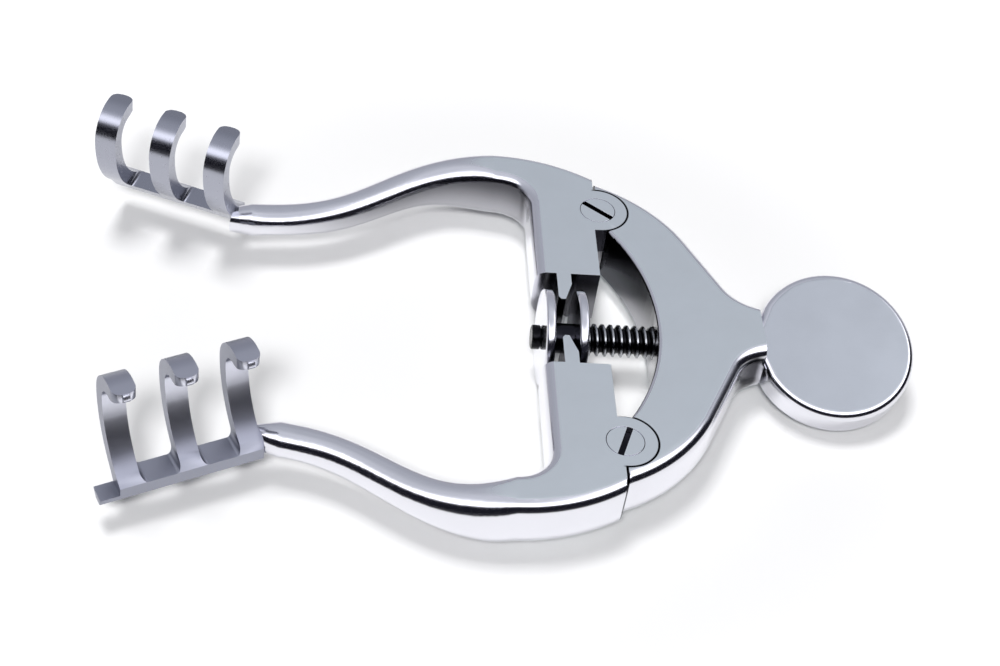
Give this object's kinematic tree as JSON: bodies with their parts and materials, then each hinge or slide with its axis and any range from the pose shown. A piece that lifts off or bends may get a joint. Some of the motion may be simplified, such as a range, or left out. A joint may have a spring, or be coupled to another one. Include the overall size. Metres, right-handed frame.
{
  "type": "self retaining retractor",
  "caption": "Small self retaining wound retractor: pronged rakes on curved arms, pivoted in a bow yoke and spread by a thumb screw through a flanged spool.",
  "frame": {"origin": "on the flat underside of the yoke, below its crown and under the spindle's axis", "axes": "+X along the spindle to the thumb disc, +Y to the upper arm of the picture, +Z the way the prongs point; metres"},
  "size_m": [0.0714, 0.0432, 0.0135],
  "materials": {
    "satin_steel": "fine satin stainless steel",
    "polished_steel": "polished stainless steel",
    "dark_steel": "oiled thread, dark in its grooves"
  },
  "bodies": {
    "yoke": {"yoke": "satin_steel", "upper_pivot_screw": "satin_steel", "lower_pivot_screw": "satin_steel"},
    "upper_arm": {"upper_arm": "satin_steel", "upper_rake": "polished_steel"},
    "lower_arm": {"lower_arm": "satin_steel", "lower_rake": "polished_steel"},
    "spool": {"flanged_spool": "polished_steel"},
    "spindle": {"threaded_spindle": "dark_steel", "retaining_collar": "dark_steel", "thumb_disc": "polished_steel"}
  },
  "joints": [
    {"name": "spool_slide", "type": "slide", "parent": "yoke", "child": "spool", "axis": [1, 0, 0], "range_m": [0, 0.00352]},
    {"name": "spindle_turn", "type": "hinge", "parent": "spool", "child": "spindle", "pos_m": [-0.0087, 0, 0.0026], "axis": [1, 0, 0], "range_deg": [0, 1800]},
    {"name": "upper_arm_pivot", "type": "hinge", "parent": "yoke", "child": "upper_arm", "pos_m": [-0.0087, 0.014, 0.0026], "axis": [0, 0, 1], "range_deg": [0, 17.9]},
    {"name": "lower_arm_pivot", "type": "hinge", "parent": "yoke", "child": "lower_arm", "pos_m": [-0.0087, -0.014, 0.0026], "axis": [0, 0, 1], "range_deg": [-17.9, 0]}
  ],
  "couplings": [
    {"joint": "spool_slide", "follows": "spindle_turn", "m_per_rad": 0.00011141},
    {"joint": "upper_arm_pivot", "follows": "spindle_turn", "ratio": 0.009816},
    {"joint": "lower_arm_pivot", "follows": "spindle_turn", "ratio": -0.009816}
  ]
}
